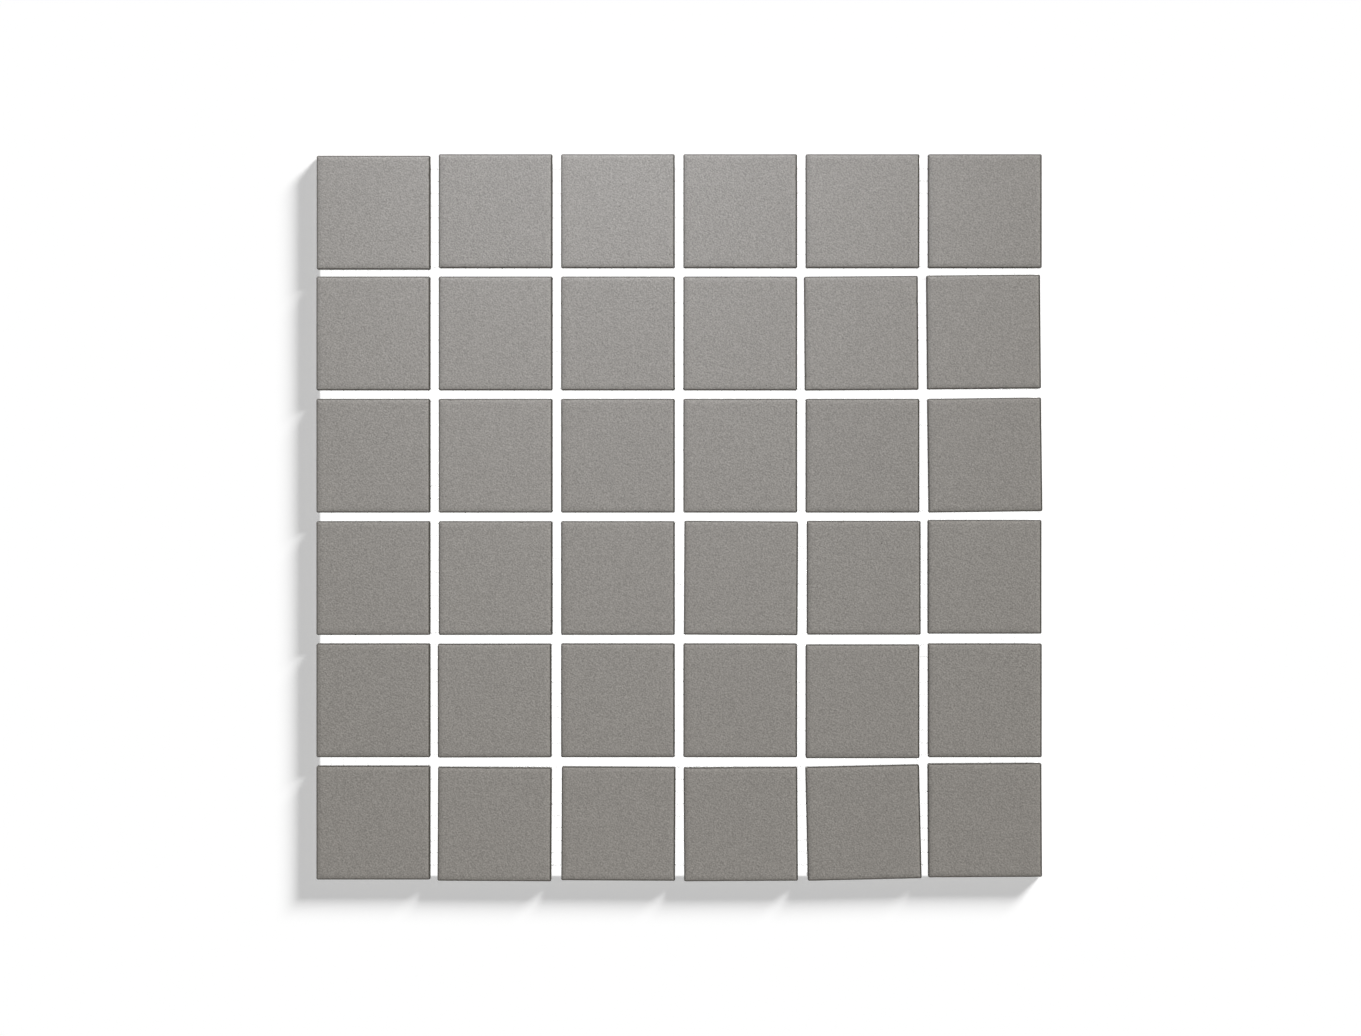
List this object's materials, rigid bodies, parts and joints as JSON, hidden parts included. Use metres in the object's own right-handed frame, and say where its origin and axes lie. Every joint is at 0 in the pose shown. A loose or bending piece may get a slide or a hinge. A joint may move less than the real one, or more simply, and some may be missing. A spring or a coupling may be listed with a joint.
{
  "type": "mosaic tile sheet",
  "caption": "Square sheet of matte grey unglazed porcelain mosaic tiles, bonded face up at even joints on an open net, laid in adhesive as one piece.",
  "frame": {"origin": "middle of the sheet's underside, where the net lies on the bed", "axes": "+X along a row of tiles, +Y from the last row of tiles to the first, +Z out of the tile faces"},
  "size_m": [0.2967, 0.2972, 0.0066],
  "materials": {
    "tile": "matte unglazed porcelain, warm grey, fine grained, with a few dark specks",
    "net": "white coated glass-fibre yarn"
  },
  "bodies": {
    "root": {"tile_row1_column1": "tile", "tile_row1_column2": "tile", "tile_row1_column3": "tile", "tile_row1_column4": "tile", "tile_row1_column5": "tile", "tile_row1_column6": "tile", "tile_row2_column1": "tile", "tile_row2_column2": "tile", "tile_row2_column3": "tile", "tile_row2_column4": "tile", "tile_row2_column5": "tile", "tile_row2_column6": "tile", "tile_row3_column1": "tile", "tile_row3_column2": "tile", "tile_row3_column3": "tile", "tile_row3_column4": "tile", "tile_row3_column5": "tile", "tile_row3_column6": "tile", "tile_row4_column1": "tile", "tile_row4_column2": "tile", "tile_row4_column3": "tile", "tile_row4_column4": "tile", "tile_row4_column5": "tile", "tile_row4_column6": "tile", "tile_row5_column1": "tile", "tile_row5_column2": "tile", "tile_row5_column3": "tile", "tile_row5_column4": "tile", "tile_row5_column5": "tile", "tile_row5_column6": "tile", "tile_row6_column1": "tile", "tile_row6_column2": "tile", "tile_row6_column3": "tile", "tile_row6_column4": "tile", "tile_row6_column5": "tile", "tile_row6_column6": "tile", "net_warp": "net", "net_weft": "net"}
  },
  "joints": []
}
